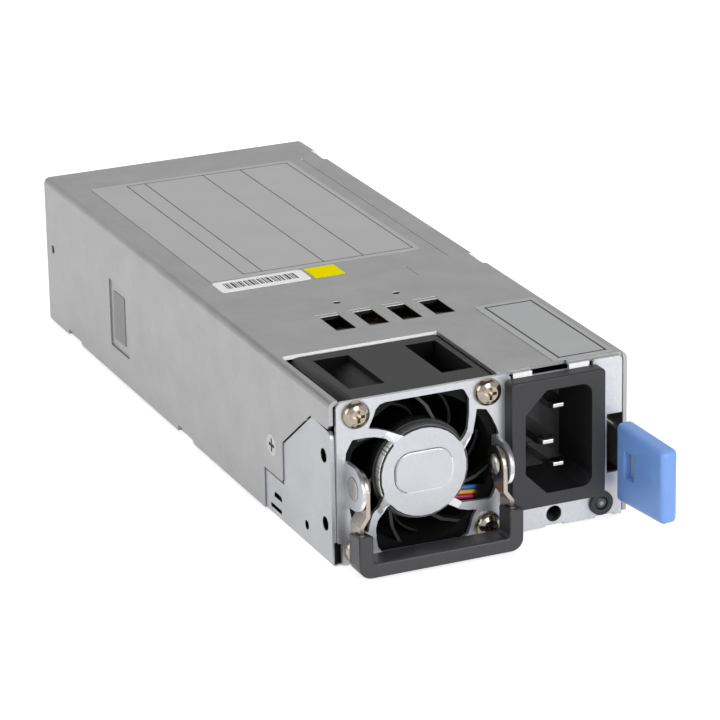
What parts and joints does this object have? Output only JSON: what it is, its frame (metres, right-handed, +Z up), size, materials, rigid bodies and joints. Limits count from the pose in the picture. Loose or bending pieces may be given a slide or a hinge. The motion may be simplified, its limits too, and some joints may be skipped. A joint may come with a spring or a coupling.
{
  "type": "hot-swap server power supply",
  "caption": "Sheet-metal server power supply with a louvred top that is open over its front fan, a fan behind a spoked bracket, mains inlet, hinged pull handle, side latch and a card-edge plug at the rear",
  "frame": {"origin": "middle of the case's flat underside", "axes": "+X right seen from the front, front at -Y, card-edge plug at +Y, +Z up"},
  "size_m": [0.0748, 0.2169, 0.0391],
  "materials": {
    "cover_steel": "plain zinc-plated sheet",
    "chassis_steel": "plain zinc-plated sheet",
    "bracket_steel": "plain zinc-plated sheet",
    "screw_nickel": "nickel plated",
    "fan_black": "black glass-filled moulding",
    "copper_wire": "enamelled copper",
    "bearing_steel": "polished steel",
    "lead_blue": "insulated wire",
    "lead_yellow": "insulated wire",
    "lead_red": "insulated wire",
    "lead_black": "insulated wire",
    "white_nylon": "white nylon",
    "inlet_black": "black moulding",
    "pin_metal": "nickel plated brass",
    "board_green": "solder mask",
    "led_black": "black moulding",
    "led_clear": "diffuse lens",
    "liner_grey": "grey film",
    "contact_gold": "gold plated",
    "capacitor_sleeve": "printed sleeve left plain",
    "core_yellow": "painted powder core",
    "core_green": "painted ferrite",
    "ferrite": "ferrite",
    "tape_yellow": "polyester tape",
    "sink_aluminium": "plain extrusion",
    "device_black": "moulded package",
    "box_yellow": "moulded box",
    "fuse_ceramic": "ceramic",
    "bus_copper": "tinned copper",
    "label_silver": "bare silver film",
    "label_white": "bare white film",
    "label_yellow": "bare yellow film",
    "seal_silver": "bare silver film",
    "impeller_black": "black moulding",
    "arm_steel": "plain sheet",
    "grip_black": "black moulding",
    "leaf_steel": "spring steel",
    "tab_blue": "light blue moulding"
  },
  "bodies": {
    "case": {"top_cover": "cover_steel", "lower_chassis": "chassis_steel", "front_panel": "chassis_steel", "rear_panel": "chassis_steel", "fan_bracket": "bracket_steel", "bracket_screws": "screw_nickel", "cover_screws": "screw_nickel", "fan_frame": "fan_black", "fan_stator": "fan_black", "fan_motor": "copper_wire", "fan_bearings": "bearing_steel", "fan_lead_blue": "lead_blue", "fan_lead_yellow": "lead_yellow", "fan_lead_red": "lead_red", "fan_lead_black": "lead_black", "fan_connector": "white_nylon", "handle_rivets": "screw_nickel", "inlet_housing": "inlet_black", "inlet_line_pins": "pin_metal", "inlet_earth_pin": "pin_metal", "filter_board": "board_green", "led_holder": "led_black", "led_lens": "led_clear", "latch_rivets": "screw_nickel", "insulating_sheet": "liner_grey", "board_standoffs": "screw_nickel", "main_board": "board_green", "board_screws": "screw_nickel", "edge_contacts_top": "contact_gold", "edge_contacts_bottom": "contact_gold", "bulk_capacitor": "capacitor_sleeve", "boost_choke_core": "core_yellow", "boost_choke_winding": "copper_wire", "input_choke_core": "core_green", "input_choke_winding": "copper_wire", "transformer_core": "ferrite", "transformer_winding": "tape_yellow", "primary_heat_sink": "sink_aluminium", "secondary_heat_sink": "sink_aluminium", "power_devices": "device_black", "bridge_rectifier": "device_black", "filter_capacitor": "box_yellow", "mains_fuse": "fuse_ceramic", "relay": "device_black", "output_choke": "ferrite", "control_board": "board_green", "control_chips": "device_black", "output_capacitors": "capacitor_sleeve", "output_busbar": "bus_copper", "wall_patch": "liner_grey", "rating_label": "label_silver", "serial_label": "label_white", "revision_label": "label_yellow", "seal_label": "seal_silver"},
    "fan_rotor": {"fan_impeller": "impeller_black", "fan_shaft": "bearing_steel"},
    "handle": {"handle_arms": "arm_steel", "handle_grip": "grip_black"},
    "latch": {"latch_leaf": "leaf_steel", "latch_tab": "tab_blue"}
  },
  "joints": [
    {"name": "fan_spin", "type": "hinge", "parent": "case", "child": "fan_rotor", "pos_m": [-0.01475, -0.078, 0.0195], "axis": [0, 1, 0], "continuous": true},
    {"name": "handle_pivot", "type": "hinge", "parent": "case", "child": "handle", "pos_m": [-0.01475, -0.097, 0.0197], "axis": [-1, 0, 0], "range_deg": [0, 90]},
    {"name": "latch_press", "type": "hinge", "parent": "case", "child": "latch", "pos_m": [0.034, -0.041, 0.0158], "axis": [0, 0, -1], "range_deg": [0, 2.5], "stiffness_Nm_per_rad": 2, "springref_deg": -2.86}
  ]
}
